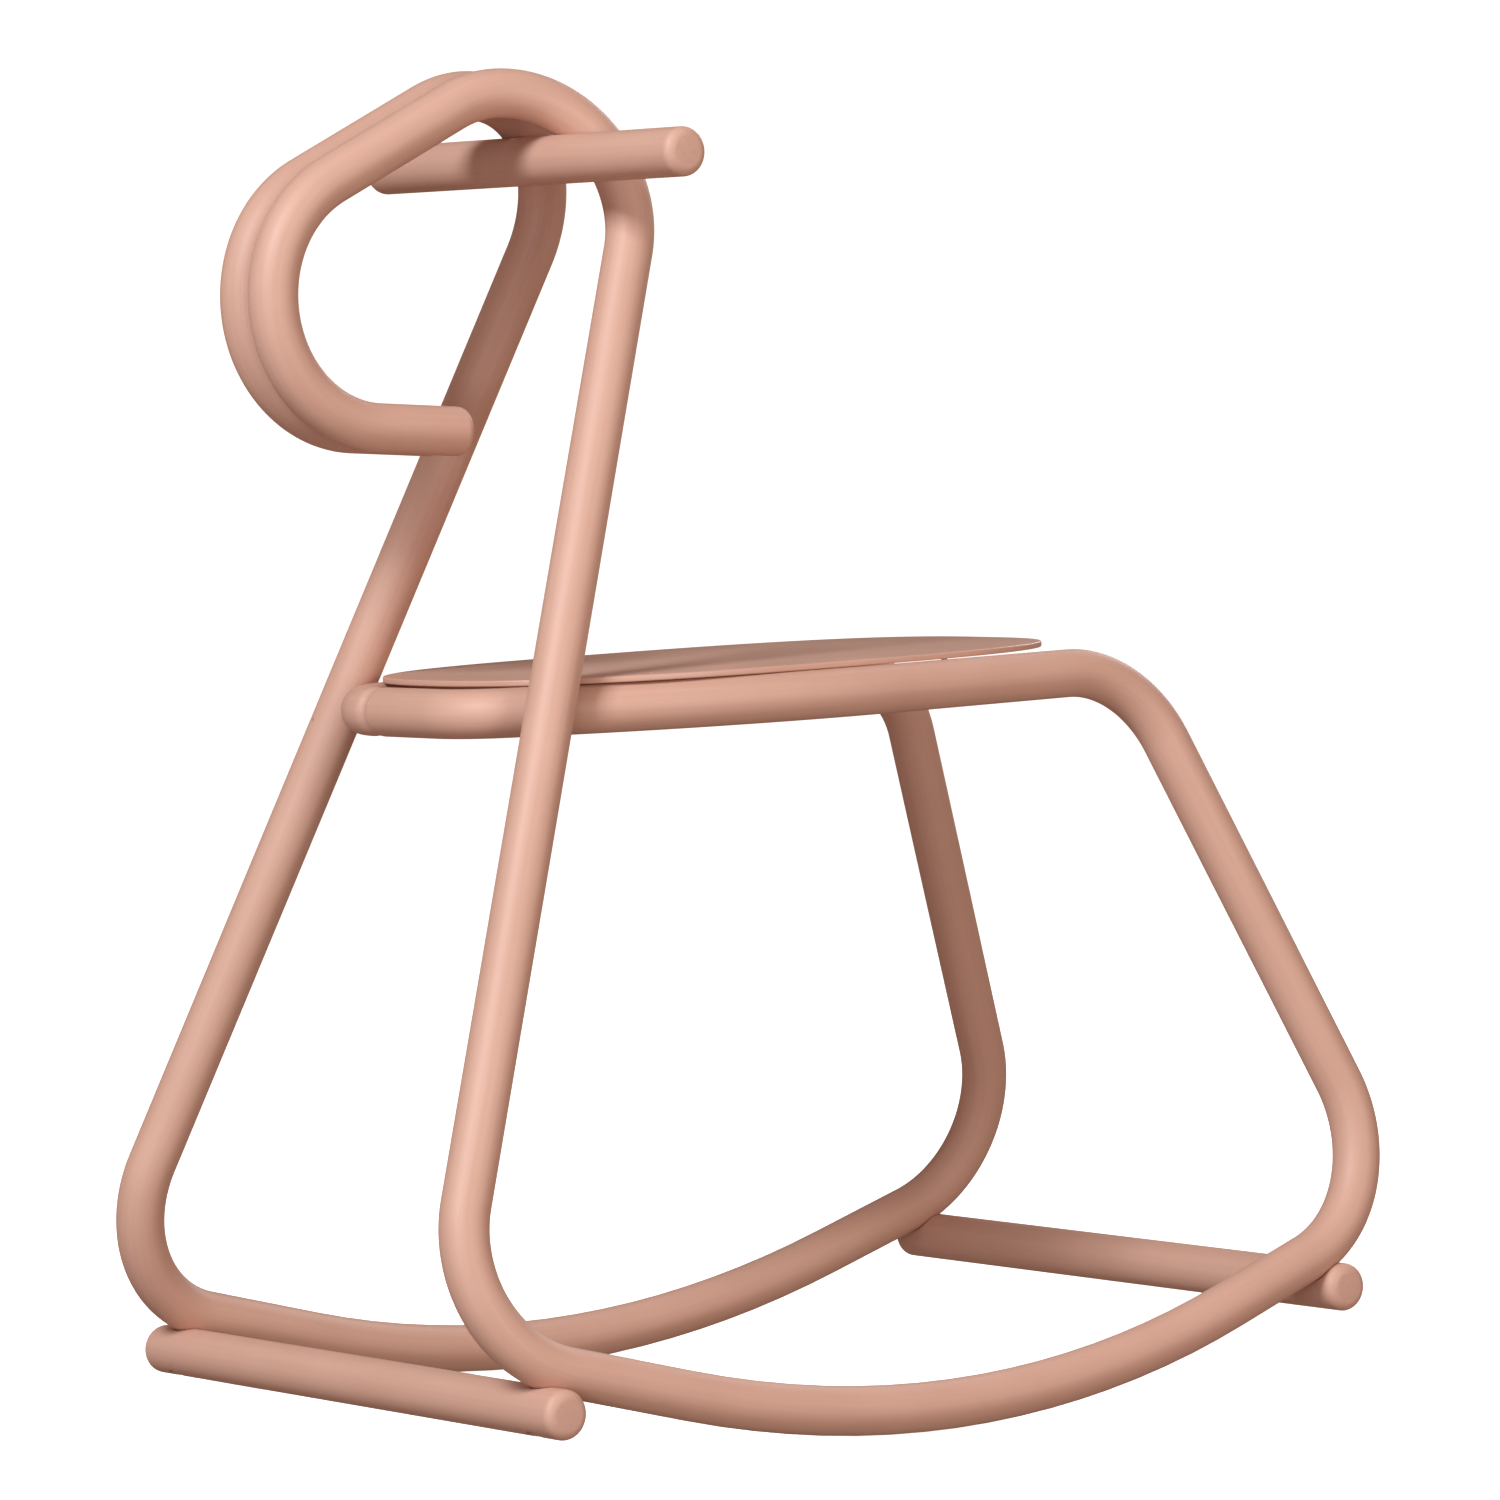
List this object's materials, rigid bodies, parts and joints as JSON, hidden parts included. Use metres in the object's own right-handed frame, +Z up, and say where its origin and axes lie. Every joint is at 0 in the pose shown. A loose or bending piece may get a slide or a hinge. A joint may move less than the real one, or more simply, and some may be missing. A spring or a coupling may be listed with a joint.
{
  "type": "rocking horse",
  "caption": "Minimal rocking horse bent from round rods, with open head loops, curved rockers, a thin flat seat on its rails, a cross handle and footrests.",
  "frame": {"origin": "on the floor under the centre of the bounding box", "axes": "+X to the horse's left, -Y forward to its head, +Z up"},
  "size_m": [0.3614, 0.5852, 0.6574],
  "materials": {
    "pink_paint": "satin dusty pink paint",
    "seat_paint": "satin dusty pink powder coat",
    "screw_steel": "countersunk hex-socket screws",
    "dowel_beech": "bare beech"
  },
  "bodies": {
    "root": {"frame_rod_left": "pink_paint", "frame_rod_right": "pink_paint", "front_footrest": "pink_paint", "front_footrest_screw_left": "screw_steel", "front_footrest_screw_right": "screw_steel", "handle": "pink_paint", "handle_screw_left": "screw_steel", "handle_screw_right": "screw_steel", "head_dowel_1": "dowel_beech", "head_dowel_2": "dowel_beech", "leg_screw_left": "screw_steel", "leg_screw_right": "screw_steel", "rail_tip_dowel": "dowel_beech", "rear_footrest": "pink_paint", "rear_footrest_screw_left": "screw_steel", "rear_footrest_screw_right": "screw_steel", "seat_panel": "seat_paint", "seat_screw_left_1": "screw_steel", "seat_screw_left_2": "screw_steel", "seat_screw_left_3": "screw_steel", "seat_screw_right_1": "screw_steel", "seat_screw_right_2": "screw_steel", "seat_screw_right_3": "screw_steel"}
  },
  "joints": []
}
